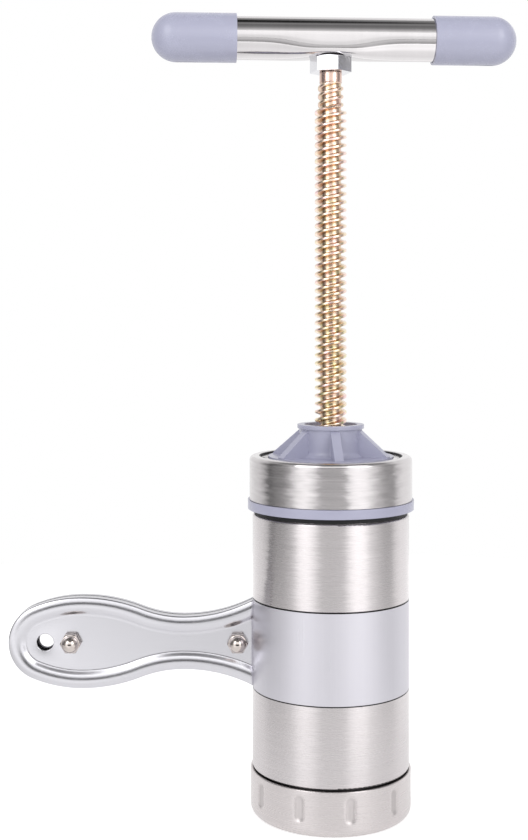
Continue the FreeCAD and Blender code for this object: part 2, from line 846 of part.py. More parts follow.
# A rod along the crossbar from one reach to another, turned with the crossbar about Z.
def barRod(name, radius, start, length):
    rod = addCylinder(name, radius, length)
    angle = math.radians(sizes["crossbarAngle"])
    turn = FreeCAD.Rotation(FreeCAD.Vector(0, 0, 1), sizes["crossbarAngle"])
    lie = FreeCAD.Rotation(FreeCAD.Vector(0, 1, 0), 90)
    base = FreeCAD.Vector(start.value * math.cos(angle), start.value * math.sin(angle), crossbarHeight.value)
    rod.Placement = FreeCAD.Placement(base, turn * lie)
    rod.setExpression("Placement.Base.x", f"{start.formula} * cos(Sizes.crossbarAngle * 1 deg)")
    rod.setExpression("Placement.Base.y", f"{start.formula} * sin(Sizes.crossbarAngle * 1 deg)")
    rod.setExpression("Placement.Base.z", crossbarHeight.formula)
    return rod


def makeCrossbar():
    half = size("crossbarLength") / 2
    start = size("crossbarOffset") - half
    tube = barRod("crossbar_blank", size("crossbarRadius"), start, size("crossbarLength"))
    inside = size("crossbarRadius") - size("crossbarWall")
    margin = size("crossbarWall")
    hollow = barRod("crossbar_hollow", inside, start - margin, size("crossbarLength") + margin * 2)
    dent = addCylinder("crossbar_dent", size("dentRadius"), size("crossbarRadius") * 4)
    turn = FreeCAD.Rotation(FreeCAD.Vector(0, 0, 1), sizes["crossbarAngle"])
    lie = FreeCAD.Rotation(FreeCAD.Vector(1, 0, 0), 90)
    angle = math.radians(sizes["crossbarAngle"])
    depth = crossbarHeight - size("crossbarRadius") + size("dentDepth") - size("dentRadius")
    back = size("crossbarRadius") * 2
    base = FreeCAD.Vector(-back.value * math.sin(angle), back.value * math.cos(angle), depth.value)
    dent.Placement = FreeCAD.Placement(base, turn * lie)
    dent.setExpression("Placement.Base.z", depth.formula)
    hole = addCylinder("crossbar_hole", size("tenonRadius") + size("seatGap"), size("crossbarRadius"))
    placeAt(hole, zero, zero, crossbarHeight - size("crossbarRadius") * 1.5)
    nutRoom = size("lockNutAcrossFlats") * 0.58 + size("curveGap")
    seat = addCylinder("crossbar_seat", nutRoom, size("lockNutHeight") + size("curveGap"))
    placeAt(seat, zero, zero, spindleNeckTop + size("seam"))
    cut("crossbar_tube", tube, fuse("crossbar_cuts", [hollow, dent, hole, seat]))


# One end grip: a blind sleeve with a domed end.
def makeGrip(word, side):
    half = size("crossbarLength") / 2
    reach = half + size("gripLength") - size("gripOverlap") - size("gripRadius")
    outer = size("gripRadius")
    straight = size("gripLength") - outer
    centre = size("crossbarOffset")
    end = centre + reach * side
    start = end - straight if side > 0 else end
    sleeve = barRod(f"{word}_sleeve", outer, start, straight)
    dome = doc.addObject("Part::Sphere", f"{word}_dome")
    bind(dome, "Radius", outer)
    angle = math.radians(sizes["crossbarAngle"])
    base = FreeCAD.Vector(end.value * math.cos(angle), end.value * math.sin(angle), crossbarHeight.value)
    dome.Placement = FreeCAD.Placement(base, FreeCAD.Rotation())
    dome.setExpression("Placement.Base.x", f"{end.formula} * cos(Sizes.crossbarAngle * 1 deg)")
    dome.setExpression("Placement.Base.y", f"{end.formula} * sin(Sizes.crossbarAngle * 1 deg)")
    dome.setExpression("Placement.Base.z", crossbarHeight.formula)
    solid = fuse(f"{word}_solid", [sleeve, dome])
    room = size("crossbarRadius") + size("seatGap")
    depth = size("gripOverlap") + size("seatGap")
    mouth = end - straight if side > 0 else end + straight
    first = mouth if side > 0 else mouth - depth
    socket = barRod(f"{word}_socket", room, first - (size("seam") if side > 0 else zero), depth + size("seam"))
    cut(f"grip_{word}", solid, socket)


# The piston: a pressed plate with a short skirt that carries the seal.
def makePiston():
    inner = size("pivotRadius") + size("runningFit")
    skirt = pistonRadius - size("sealWall") * 2
    wall = size("sheetWall")
    low = pistonTop - size("pistonSkirt")
    body = turned("piston_plate", [
        (inner, pistonBottom),
        (skirt - wall, pistonBottom),
        (skirt - wall, low + wall),
        (skirt - wall, low),
        (pistonRadius - size("runningFit"), low),
        (pistonRadius - size("runningFit"), low + wall),
        (skirt, low + wall),
        (skirt, pistonTop - wall),
        (pistonRadius - size("runningFit"), pistonTop - wall),
        (pistonRadius - size("runningFit"), pistonTop),
        (inner, pistonTop),
    ])
    seal = turned("piston_seal", [
        (skirt + size("runningFit"), low + wall + size("seatGap")),
        (pistonRadius, low + wall + size("seatGap")),
        (pistonRadius, pistonTop - wall - size("seatGap")),
        (skirt + size("runningFit"), pistonTop - wall - size("seatGap")),
    ])
    washerTop = pistonBottom - size("seatGap")
    washerBottom = washerTop - size("washerThickness")
    turned("piston_washer", [
        (inner, washerBottom),
        (size("washerRadius"), washerBottom),
        (size("washerRadius"), washerTop),
        (inner, washerTop),
    ])
    headTop = washerBottom - size("seatGap") * 2
    screw = turned("piston_screw", [
        (zero, headTop - size("screwHeadHeight")),
        (size("screwHeadRadius"), headTop - size("screwHeadHeight")),
        (size("screwHeadRadius"), headTop),
        (zero, headTop),
    ])
    roundTurned(screw, [(size("screwHeadRadius"), headTop - size("screwHeadHeight"))], size("screwHeadHeight") / 2)
    return body, seal


def makeAll():
    makeBarrel()
    makeBand()
    makeHandle()
    makeFasteners("outer", outerBoltReach)
    makeFasteners("inner", innerBoltReach)
    makeRing()
    makeDie()
    makeNeckSeal()
    makeLidCore()
    makeLidCover()
    makeLidGasket()
    makeSpindleNut()
    makePiston()
    makeSpindle()
    makeLockNut()
    makeCrossbar()
    makeGrip("left", -1)
    makeGrip("right", 1)


nodeNames = [
    "barrel",
    "handle_band",
    "handle_shell_front",
    "handle_shell_back",
    "handle_bolt_outer",
    "handle_bolt_inner",
    "cap_nut_outer",
    "cap_nut_inner",
    "handle_spacer_outer",
    "handle_spacer_inner",
    "retaining_ring",
    "die_plate",
    "neck_seal",
    "lid_core",
    "lid_cover",
    "lid_gasket",
    "spindle_nut",
    "piston_plate",
    "piston_seal",
    "piston_washer",
    "piston_screw",
    "spindle",
    "lock_nut",
    "crossbar_tube",
    "grip_left",
    "grip_right",
]


def checkAndExport():
    os.makedirs("parts", exist_ok=True)
    for item in doc.Objects:
        if "Invalid" in item.State or "Error" in item.State:
            raise RuntimeError(f"{item.Label} did not compute")
    for name in nodeNames:
        shape = doc.getObjectsByLabel(name)[0].Shape
        if shape.isNull() or not shape.isValid():
            raise RuntimeError(f"{name} has no valid shape")
        if len(shape.Solids) != 1:
            raise RuntimeError(f"{name} has {len(shape.Solids)} solids")
        shape.exportStep(f"parts/{name}.step")
        box = shape.BoundBox
        print(name, round(box.ZMin, 2), round(box.ZMax, 2), round(shape.Volume, 1))


makeAll()
doc.recompute()
checkAndExport()
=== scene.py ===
import math

import bmesh
import bpy
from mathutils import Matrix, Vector


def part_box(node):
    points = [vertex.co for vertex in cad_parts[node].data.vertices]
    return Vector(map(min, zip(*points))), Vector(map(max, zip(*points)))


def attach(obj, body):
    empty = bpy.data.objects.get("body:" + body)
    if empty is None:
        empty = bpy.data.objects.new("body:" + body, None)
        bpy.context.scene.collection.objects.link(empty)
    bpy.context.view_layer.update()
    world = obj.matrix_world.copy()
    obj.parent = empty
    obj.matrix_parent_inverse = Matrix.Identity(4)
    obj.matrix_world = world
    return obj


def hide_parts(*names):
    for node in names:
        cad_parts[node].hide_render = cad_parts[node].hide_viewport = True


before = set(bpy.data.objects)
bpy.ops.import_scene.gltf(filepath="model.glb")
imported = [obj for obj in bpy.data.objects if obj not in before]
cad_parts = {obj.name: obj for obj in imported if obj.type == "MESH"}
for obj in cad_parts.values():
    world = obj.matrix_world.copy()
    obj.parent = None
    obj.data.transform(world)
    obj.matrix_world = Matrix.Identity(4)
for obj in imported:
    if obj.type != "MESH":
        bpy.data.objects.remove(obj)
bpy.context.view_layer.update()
mm = 0.001


# Wraps a node socket so that shader and geometry maths read as plain expressions.
class Field:
    def __init__(self, maker, socket):
        self.maker = maker
        self.socket = socket

    def maths(self, operation, *others, clamp=False):
        inputs = {0: self}
        for index, other in enumerate(others, start=1):
            inputs[index] = other
        made = self.maker.node("ShaderNodeMath", {"operation": operation, "use_clamp": clamp}, inputs)
        return Field(self.maker, made.outputs[0])

    def __add__(self, other):
        return self.maths("ADD", other)

    def __radd__(self, other):
        return self.maths("ADD", other)

    def __sub__(self, other):
        return self.maths("SUBTRACT", other)

    def __rsub__(self, other):
        return (self * -1.0) + other

    def __mul__(self, other):
        return self.maths("MULTIPLY", other)

    def __rmul__(self, other):
        return self.maths("MULTIPLY", other)

    def __truediv__(self, other):
        return self.maths("DIVIDE", other)

    def clamped(self):
        return self.maths("ADD", 0.0, clamp=True)

    def above(self, edge):
        return self.maths("GREATER_THAN", edge)

    # 0 below start, 1 above stop, an eased slope between
    def eased(self, start, stop):
        made = self.maker.node(
            "ShaderNodeMapRange",
            {"interpolation_type": "SMOOTHSTEP"},
            {"Value": self, "From Min": start, "From Max": stop},
        )
        return Field(self.maker, made.outputs[0])


# Adds nodes to one tree: the settings come first, then the values or links of the sockets.
class Maker:
    def __init__(self, tree):
        self.tree = tree

    def node(self, kind, settings=None, inputs=None):
        made = self.tree.nodes.new(kind)
        for name, value in (settings or {}).items():
            if name == "stops":
                ramp = made.color_ramp
                while len(ramp.elements) < len(value):
                    ramp.elements.new(0.5)
                for element, (place, colour) in zip(ramp.elements, value):
                    element.position = place
                    element.color = (*colour, 1.0)
            else:
                setattr(made, name, value)
        for key, value in (inputs or {}).items():
            socket = made.inputs[key]
            if isinstance(value, Field):
                self.tree.links.new(value.socket, socket)
            elif isinstance(value, bpy.types.NodeSocket):
                self.tree.links.new(value, socket)
            else:
                socket.default_value = value
        return made

    def field(self, made, output=0):
        return Field(self, made.outputs[output])

    # The three numbers of a vector
    def split(self, vector):
        parts = self.node("ShaderNodeSeparateXYZ", {}, {0: vector})
        return [self.field(parts, index) for index in range(3)]

    def place(self):
        return self.split(self.node("ShaderNodeTexCoord").outputs["Object"])

    def vector(self, x, y, z):
        return self.node("ShaderNodeCombineXYZ", {}, {0: x, 1: y, 2: z}).outputs[0]

    # Noise on a stretched place, 0 to 1
    def noise(self, scales, detail=3.0, rough=0.55, seed=0.0):
        x, y, z = self.place()
        where = self.vector(x * scales[0] + seed, y * scales[1] + seed, z * scales[2])
        made = self.node(
            "ShaderNodeTexNoise",
            {"noise_dimensions": "3D"},
            {"Vector": where, "Scale": 1.0, "Detail": detail, "Roughness": rough},
        )
        return self.field(made)

    def mixColour(self, share, first, second):
        made = self.node("ShaderNodeMix", {"data_type": "RGBA"}, {0: share, 6: first, 7: second})
        return made.outputs[2]

    def bump(self, height, distance, strength=1.0, normal=None):
        inputs = {"Height": height, "Distance": distance, "Strength": strength}
        if normal:
            inputs["Normal"] = normal
        return self.node("ShaderNodeBump", {}, inputs).outputs[0]

    # The normal leaned sideways, round the upright axis, by a small amount
    def leaned(self, amount):
        x, y, z = self.place()
        radius = (x * x + y * y).maths("SQRT")
        side = self.vector(y * amount / radius * -1.0, x * amount / radius, 0.0)
        straight = self.node("ShaderNodeTexCoord").outputs["Normal"]
        both = self.node("ShaderNodeVectorMath", {"operation": "ADD"}, {0: straight, 1: side})
        turned = self.node(
            "ShaderNodeVectorTransform",
            {"vector_type": "NORMAL", "convert_from": "OBJECT", "convert_to": "WORLD"},
            {0: both.outputs[0]},
        )
        unit = self.node("ShaderNodeVectorMath", {"operation": "NORMALIZE"}, {0: turned.outputs[0]})
        return unit.outputs[0]


def srgb(red, green, blue):
    def linear(value):
        value = value / 255.0
        return value / 12.92 if value <= 0.04045 else ((value + 0.055) / 1.055) ** 2.4

    return (linear(red), linear(green), linear(blue), 1.0)


def shade(colour, factor):
    return (colour[0] * factor, colour[1] * factor, colour[2] * factor, 1.0)


def newMaterial(name):
    material = bpy.data.materials.new(name)
    material.use_nodes = True
    material.node_tree.nodes.clear()
    return material, Maker(material.node_tree)


def finishMaterial(maker, inputs):
    shader = maker.node("ShaderNodeBsdfPrincipled", {}, inputs)
    maker.node("ShaderNodeOutputMaterial", {}, {"Surface": shader.outputs[0]})


def newPiece(name, mesh, material=None):
    piece = bpy.data.objects.new(name, mesh)
    bpy.context.scene.collection.objects.link(piece)
    if material:
        mesh.materials.clear()
        mesh.materials.append(material)
    return piece


def meshFrom(name, build):
    mesh = bpy.data.meshes.new(name)
    work = bmesh.new()
    build(work)
    work.to_mesh(mesh)
    work.free()
    return mesh


def smoothByAngle(piece, degrees):
    for polygon in piece.data.polygons:
        polygon.use_smooth = True
    piece.data.set_sharp_from_angle(angle=math.radians(degrees))


# Joins rings of points into a skin. All the rings have the same number of points.
def skinRings(work, rings, closed=True, capStart=False, capEnd=False):
    made = [[work.verts.new(point) for point in loop] for loop in rings]
    for low, high in zip(made, made[1:]):
        count = len(low)
        for index in range(count if closed else count - 1):
            after = (index + 1) % count
            work.faces.new((low[index], low[after], high[after], high[index]))
    if capStart:
        work.faces.new(list(reversed(made[0])))
    if capEnd:
        work.faces.new(made[-1])
    return made


# Turns the faces of an open skin so that most of them look the given way.
def faceTo(work, way):
    bmesh.ops.recalc_face_normals(work, faces=work.faces)
    lean = sum(face.normal.dot(Vector(way)) * face.calc_area() for face in work.faces)
    if lean < 0:
        bmesh.ops.reverse_faces(work, faces=work.faces)


# Distance of a place from the middle line of the nearest of the ring's upright dimples.
def dimpleReach(maker, dimples, x, y, z):
    radius = (x * x + y * y).maths("SQRT")
    spacing = 2 * math.pi / dimples["count"]
    turns = (y.maths("ARCTAN2", x) - dimples["turn"]) / spacing + 0.5
    across = (turns.maths("FRACT") - 0.5) * spacing * radius
    up = ((z - dimples["middle"]).maths("ABSOLUTE") - dimples["halfRun"]).maths("MAXIMUM", 0.0)
    return (across * across + up * up).maths("SQRT")


# Turned, brushed steel: lines round the axis, which smear what it mirrors up and down.
def turnedSteel(name, look):
    material, maker = newMaterial(name)
    around = look["around"]
    lines = maker.noise((around, around, look["lines"]), 4.0, 0.62)
    broad = maker.noise((around * 0.6, around * 0.6, look["lines"] * 0.2), 2.0, 0.5, seed=3.1)
    clouds = maker.noise((24.0, 24.0, 34.0), 2.0, 0.5, seed=7.7)
    ragged = maker.noise((look["patch"], look["patch"], look["rows"]), 2.0, 0.55, seed=9.2)
    share = (lines * 0.5 + broad * 0.2 + clouds * 0.3).clamped()
    base = maker.mixColour(share, shade(look["colour"], 0.90), shade(look["colour"], 1.08))
    x, y, z = maker.place()
    # Painted shade: near-black base colour in bands set by height stands in for the shade in the gaps
    # at the handle band's edges and over the ring; the lowest band paints the whole spigot under the
    # ring near black.
    for low, high in look.get("paintedGapShades", ()):
        seam = z.above(low) * (1.0 - z.above(high))
        base = maker.mixColour(seam * 0.95, base, (0.004, 0.004, 0.004, 1))
    rough = look["roughness"] + (lines - 0.5) * 0.14 + (broad - 0.5) * 0.08
    if "dimples" in look:
        # Painted shade: the dimples' floors are darkened, easing out towards their edges, and made a
        # little rougher.
        outer, inner = look["dimples"]["shade"]
        inside = 1.0 - dimpleReach(maker, look["dimples"], x, y, z).eased(inner, outer)
        base = maker.mixColour(inside * 0.7, base, shade(look["colour"], 0.80))
        rough = rough + inside * 0.08
    leaned = maker.leaned((ragged - 0.5) * look["lean"])
    finishMaterial(maker, {
        "Base Color": base,
        "Metallic": 1.0,
        "Roughness": rough,
        "Anisotropic": look["spread"],
        "Anisotropic Rotation": 0.25,
        "Normal": maker.bump(lines, 0.01 * mm, 0.5, leaned),
    })
    return material


# Steel brushed up and down, which smears what it mirrors sideways.
def uprightSteel(name, look):
    material, maker = newMaterial(name)
    lines = maker.noise(look["lines"], 3.0, 0.6)
    broad = maker.noise(look["broad"], 2.0, 0.5, seed=3.3)
    clouds = maker.noise((50.0, 50.0, 50.0), 3.0, 0.55, seed=2.0)
    share = (lines * 0.35 + broad * 0.2 + clouds * 0.45).clamped()
    base = maker.mixColour(share, shade(look["colour"], 0.92), shade(look["colour"], 1.07))
    rough = look["roughness"] + (lines - 0.5) * 0.10 + (clouds - 0.5) * 0.08
    finishMaterial(maker, {
        "Base Color": base,
        "Metallic": 1.0,
        "Roughness": rough,
        "Anisotropic": look["spread"],
        "Anisotropic Rotation": 0.0,
        "Normal": maker.bump(lines, 0.006 * mm, 0.4),
    })
    return material


# Satin steel sheet: fine grain, soft clouds and a few faint marks.
def satinSteel(name, look):
    material, maker = newMaterial(name)
    grain = maker.noise((look["grain"], look["grain"], look["grain"]), 3.0, 0.6)
    clouds = maker.noise((55.0, 55.0, 55.0), 3.0, 0.55, seed=2.0)
    marks = maker.noise(look["marks"], 2.0, 0.5, seed=5.0)
    share = (grain * 0.35 + clouds * 0.40 + marks * 0.25).clamped()
    base = maker.mixColour(share, shade(look["colour"], 0.91), shade(look["colour"], 1.08))
    rough = look["roughness"] + (clouds - 0.5) * 0.10 + (grain - 0.5) * 0.08
    finishMaterial(maker, {
        "Base Color": base,
        "Metallic": 1.0,
        "Roughness": rough,
        "Normal": maker.bump(grain * 0.6 + marks * 0.4, 0.01 * mm, look["relief"]),
    })
    return material


# Polished metal: faint polishing lines and a little haze.
def polishedMetal(name, look):
    material, maker = newMaterial(name)
    lines = maker.noise(look["lines"], 2.0, 0.5)
    haze = maker.noise((90.0, 90.0, 90.0), 2.0, 0.5, seed=4.0)
    share = (lines * 0.4 + haze * 0.6).clamped()
    base = maker.mixColour(share, shade(look["colour"], 0.93), shade(look["colour"], 1.05))
    rough = look["roughness"] + (lines - 0.5) * 0.06 + (haze - 0.5) * 0.06
    finishMaterial(maker, {
        "Base Color": base,
        "Metallic": 1.0,
        "Roughness": rough,
        "Normal": maker.bump(lines, 0.006 * mm, 0.35),
    })
    return material


# Moulded plastic: a fine eggshell grain and slow changes where the melt flowed.
def mouldedPlastic(name, look):
    material, maker = newMaterial(name)
    grain = maker.noise((2600.0, 2600.0, 2600.0), 2.0, 0.5)
    flow = maker.noise((45.0, 45.0, 70.0), 3.0, 0.6, seed=1.3)
    share = (flow * 0.8 + grain * 0.2).clamped()
    base = maker.mixColour(share, shade(look["colour"], 0.95), shade(look["colour"], 1.05))
    rough = look["roughness"] + (flow - 0.5) * 0.10 + (grain - 0.5) * 0.05
    finishMaterial(maker, {
        "Base Color": base,
        "Roughness": rough,
        "Specular IOR Level": look["shine"],
        "Normal": maker.bump(grain, 0.012 * mm, 0.35),
    })
    return material


def darkRubber(name):
    material, maker = newMaterial(name)
    grain = maker.noise((1800.0, 1800.0, 1800.0), 2.0, 0.5)
    base = maker.mixColour(grain, (0.006, 0.006, 0.007, 1), (0.016, 0.016, 0.018, 1))
    finishMaterial(maker, {
        "Base Color": base,
        "Roughness": 0.55 + (grain - 0.5) * 0.2,
        "Specular IOR Level": 0.3,
        "Normal": maker.bump(grain, 0.02 * mm, 0.4),
    })
    return material


# Yellow zinc: pale gold with pink and olive clouds, with painted shade darkening the roots of the
# thread.
def yellowZinc(name, sizes):
    material, maker = newMaterial(name)
    x, y, z = maker.place()
    radius = (x * x + y * y).maths("SQRT")
    clouds = maker.noise((210.0, 210.0, 300.0), 3.0, 0.6)
    drift = maker.noise((480.0, 480.0, 560.0), 2.0, 0.5, seed=6.0)
    height = z.eased(sizes["bottom"] + 30 * mm, sizes["top"])
    warm = maker.mixColour(((clouds - 0.5) * 3.4 + 0.48).clamped(), sizes["gold"], sizes["pink"])
    olive = maker.mixColour(((drift - 0.5) * 5.0).clamped(), warm, sizes["olive"])
    risen = maker.mixColour(height * 0.45 + z.above(sizes["reliefTop"]) * 0.5, olive, sizes["pink"])
    # Painted shade: the colour darkens towards the roots of the thread.
    depth = radius.eased(sizes["rootRadius"] + 0.2 * mm, sizes["crestRadius"] - 0.4 * mm)
    base = maker.mixColour(depth, maker.mixColour(0.42, risen, sizes["rootShade"]), risen)
    rough = 0.20 + (clouds - 0.5) * 0.14
    finishMaterial(maker, {
        "Base Color": base,
        "Metallic": 1.0,
        "Roughness": rough,
        "Normal": maker.bump(drift, 0.03 * mm, 0.4),
    })
    return material


# The ring's dimples, which its mesh and its steel share; the steel paints shade in them
dimples = {
    "count": 10,
    "turn": math.radians(29),
    "middle": 10.3 * mm,
    "halfRun": 2.9 * mm,
    "shade": (1.9 * mm, 1.0 * mm),
}
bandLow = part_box("handle_band")[0][2]
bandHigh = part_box("handle_band")[1][2]
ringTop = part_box("retaining_ring")[1][2]
finishLooks = {
    "barrelSteel": {"colour": srgb(207, 202, 203), "roughness": 0.27, "around": 7.0, "lines": 2300.0,
                    "patch": 95.0, "rows": 1500.0, "lean": 0.10, "spread": 0.95,
                    # painted shade: heights of the near-black bands at the gaps over the ring and at
                    # the band's edges
                    "paintedGapShades": ((0.0, ringTop + 0.7 * mm), (bandLow - 0.45 * mm, bandLow + 0.1 * mm),
                              (bandHigh - 0.1 * mm, bandHigh + 0.6 * mm))},
    "lidSteel": {"colour": srgb(205, 201, 202), "roughness": 0.21, "around": 9.0, "lines": 2100.0,
                 "patch": 150.0, "rows": 900.0, "lean": 0.20, "spread": 0.75},
    "handleSteel": {"colour": srgb(206, 205, 210), "roughness": 0.225, "grain": 1300.0,
                    "marks": (90.0, 90.0, 1700.0), "relief": 0.45},
    "bandSteel": {"colour": srgb(206, 204, 211), "roughness": 0.30, "lines": (1900.0, 1900.0, 9.0),
                  "broad": (420.0, 420.0, 6.0), "spread": 0.85},
    "ringSteel": {"colour": srgb(208, 202, 202), "roughness": 0.28, "around": 14.0, "lines": 1500.0,
                  "patch": 60.0, "rows": 300.0, "lean": 0.10, "spread": 0.85, "dimples": dimples},
    "pistonSteel": {"colour": srgb(204, 204, 206), "roughness": 0.28, "grain": 900.0,
                    "marks": (60.0, 60.0, 900.0), "relief": 0.4},
    "spacerMetal": {"colour": srgb(196, 197, 200), "roughness": 0.35, "grain": 900.0,
                    "marks": (60.0, 900.0, 60.0), "relief": 0.4},
    "bronze": {"colour": srgb(196, 158, 96), "roughness": 0.3, "grain": 800.0,
               "marks": (300.0, 300.0, 300.0), "relief": 0.4},
    "crossbarSteel": {"colour": srgb(214, 211, 212), "roughness": 0.11, "lines": (900.0, 60.0, 60.0)},
    "nickel": {"colour": srgb(200, 191, 186), "roughness": 0.07, "lines": (300.0, 300.0, 300.0)},
    "brightZinc": {"colour": srgb(230, 230, 234), "roughness": 0.22, "lines": (700.0, 700.0, 120.0)},
    "nutSteel": {"colour": srgb(214, 190, 176), "roughness": 0.24, "lines": (200.0, 200.0, 900.0)},
    "gripPlastic": {"colour": srgb(166, 167, 187), "roughness": 0.27, "shine": 0.5},
    "lidPlastic": {"colour": srgb(164, 164, 184), "roughness": 0.26, "shine": 0.5},
}

print("finishes")
finishes = {"rubber": darkRubber("rubber")}
for makeFinish, names in (
    (turnedSteel, ("barrelSteel", "lidSteel", "ringSteel")),
    (uprightSteel, ("bandSteel",)),
    (satinSteel, ("handleSteel", "pistonSteel", "spacerMetal", "bronze")),
    (polishedMetal, ("crossbarSteel", "nickel", "brightZinc", "nutSteel")),
    (mouldedPlastic, ("gripPlastic", "lidPlastic")),
):
    for name in names:
        finishes[name] = makeFinish(name, finishLooks[name])

nodeFinish = {
    "barrel": "barrelSteel",
    "handle_band": "bandSteel",
    "handle_shell_front": "handleSteel",
    "handle_shell_back": "handleSteel",
    "handle_bolt_outer": "nickel",
    "handle_bolt_inner": "nickel",
    "cap_nut_outer": "nickel",
    "cap_nut_inner": "nickel",
    "handle_spacer_outer": "spacerMetal",
    "handle_spacer_inner": "spacerMetal",
    "retaining_ring": "ringSteel",
    "die_plate": "bronze",
    "neck_seal": "rubber",
    "lid_core": "lidPlastic",
    "lid_cover": "lidSteel",
    "lid_gasket": "rubber",
    "spindle_nut": "nutSteel",
    "piston_plate": "pistonSteel",
    "piston_seal": "rubber",
    "piston_washer": "brightZinc",
    "piston_screw": "brightZinc",
    "spindle": "nutSteel",
    "lock_nut": "brightZinc",
    "crossbar_tube": "crossbarSteel",
    "grip_left": "gripPlastic",
    "grip_right": "gripPlastic",
}
for nodeName, finishName in nodeFinish.items():
    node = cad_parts[nodeName]
    node.data.materials.clear()
    node.data.materials.append(finishes[finishName])


# Starts a geometry tree with one result and a named number for each word.
def newTree(name, settings, words):
    tree = bpy.data.node_groups.new(name, "GeometryNodeTree")
    tree.interface.new_socket("Geometry", in_out="OUTPUT", socket_type="NodeSocketGeometry")
    for word in words:
        made = tree.interface.new_socket(word, in_out="INPUT", socket_type="NodeSocketFloat")
        made.default_value = settings[word]
    maker = Maker(tree)
    given = maker.node("NodeGroupInput")
    return tree, maker, [Field(maker, given.outputs[index]) for index in range(len(words))]


def endTree(maker, geometry, material):
    real = maker.node("GeometryNodeRealizeInstances", {}, {"Geometry": geometry})
    inputs = {"Geometry": real.outputs[0], "Material": material}
    coated = maker.node("GeometryNodeSetMaterial", {}, inputs)
    maker.node("NodeGroupOutput", {}, {0: coated.outputs[0]})


# Runs a geometry tree on an empty mesh and gives the result back as a plain mesh.
def meshFromTree(name, tree):
    holder = newPiece(name + "Holder", bpy.data.meshes.new(name + "Holder"))
    modifier = holder.modifiers.new("tree", "NODES")
    modifier.node_group = tree
    for item in tree.interface.items_tree:
        if item.in_out == "INPUT" and item.socket_type == "NodeSocketFloat":
            modifier[item.identifier] = item.default_value
    graph = bpy.context.evaluated_depsgraph_get()
    mesh = bpy.data.meshes.new_from_object(holder.evaluated_get(graph))
    mesh.name = name
    bpy.data.objects.remove(holder)
    return mesh


# A two-start rolled thread with a worn run, a plain neck, a tenon and a pivot.
spindle = {
    "bottom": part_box("spindle")[0][2],
    "top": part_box("spindle")[1][2],
    "pivotTop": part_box("piston_plate")[1][2] + 0.2 * mm,
    "wornFrom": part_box("lock_nut")[0][2] - 15.2 * mm,
    "wornTo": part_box("lock_nut")[0][2] - 12.8 * mm,
    "reliefTop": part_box("lock_nut")[0][2] - 4.1 * mm,
    "neckTop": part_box("lock_nut")[0][2] - 0.1 * mm,
    "crestRadius": 6.12 * mm,
    "reliefRadius": 4.92 * mm,
    "rootRadius": 4.02 * mm,
    "neckRadius": 4.3 * mm,
    "tenonRadius": 3.4 * mm,
    "pivotRadius": 3.0 * mm,
    "pitch": 3.11 * mm,
    "starts": 2,
    "crestHalf": 0.40 * mm,
    "flank": 0.64 * mm,
    "phase": 0.397,
    "rows": 56,
    "stepsPerPitch": 14,
    "gold": srgb(241, 225, 188),
    "pink": srgb(245, 214, 212),
    "olive": srgb(222, 220, 172),
    "rootShade": srgb(176, 146, 104),
}


# Rolls a flat grid up round the axis, raised along the ridges of the thread.
def threadTree(settings, material):
    words = ("crestRadius", "rootRadius", "reliefRadius", "pitch", "crestHalf", "flank")
    tree, maker, given = newTree("spindleThread", settings, words)
    crestRadius, rootRadius, reliefRadius, pitch, crestHalf, flank = given
    lead = settings["pitch"] * settings["starts"]
    length = settings["top"] - settings["bottom"]
    columns = int(round((length + lead) / settings["pitch"] * settings["stepsPerPitch"]))
    grid = maker.node(
        "GeometryNodeMeshGrid",
        {},
        {"Size X": 1.0, "Size Y": 1.0, "Vertices X": columns + 1, "Vertices Y": settings["rows"] + 1},
    )
    x, y = maker.split(maker.node("GeometryNodeInputPosition").outputs[0])[:2]
    along = x + 0.5
    around = y + 0.5
    step = settings["pitch"] / settings["stepsPerPitch"]
    raw = along * (columns * step) + around * lead + (settings["bottom"] - lead)
    height = raw.maths("MAXIMUM", settings["bottom"]).maths("MINIMUM", settings["top"])
    turns = (height - around * lead) / pitch + settings["phase"]
    away = (turns.maths("FRACT") - 0.5).maths("ABSOLUTE") * pitch
    ridge = 1.0 - away.eased(crestHalf, crestHalf + flank)
    worn = height.eased(settings["wornFrom"], settings["wornTo"])
    crest = crestRadius + (reliefRadius - crestRadius) * worn
    threaded = rootRadius + (crest - rootRadius) * ridge
    necked = height.above(settings["reliefTop"])
    tenon = height.above(settings["neckTop"])
    pivot = 1.0 - height.above(settings["pivotTop"])
    radius = threaded + (settings["neckRadius"] - threaded) * necked
    radius = radius + (settings["tenonRadius"] - radius) * tenon
    radius = radius + (settings["pivotRadius"] - radius) * pivot
    angle = around * (2 * math.pi)
    place = maker.vector(radius * angle.maths("COSINE"), radius * angle.maths("SINE"), height)
    moved = maker.node("GeometryNodeSetPosition", {}, {"Geometry": grid.outputs[0], "Position": place})
    inputs = {"Geometry": moved.outputs[0], "Distance": 1e-6}
    merged = maker.node("GeometryNodeMergeByDistance", {}, inputs)
    endTree(maker, merged.outputs[0], material)
    return tree


# Merges the seam and the poles, then fills what is still open at the ends.
def closeEnds(mesh, reach):
    work = bmesh.new()
    work.from_mesh(mesh)
    bmesh.ops.remove_doubles(work, verts=work.verts, dist=reach)
    bmesh.ops.dissolve_degenerate(work, edges=work.edges, dist=reach)
    rims = [edge for edge in work.edges if edge.is_boundary]
    bmesh.ops.holes_fill(work, edges=rims, sides=0)
    bmesh.ops.recalc_face_normals(work, faces=work.faces)
    work.to_mesh(mesh)
    work.free()


print("spindle")
zincFinish = yellowZinc("yellowZinc", spindle)
threadMesh = meshFromTree("spindleThread", threadTree(spindle, zincFinish))
closeEnds(threadMesh, 2e-6)
threadPiece = newPiece("spindleThread", threadMesh, zincFinish)
smoothByAngle(threadPiece, 50)
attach(threadPiece, "screw")
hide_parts("spindle")


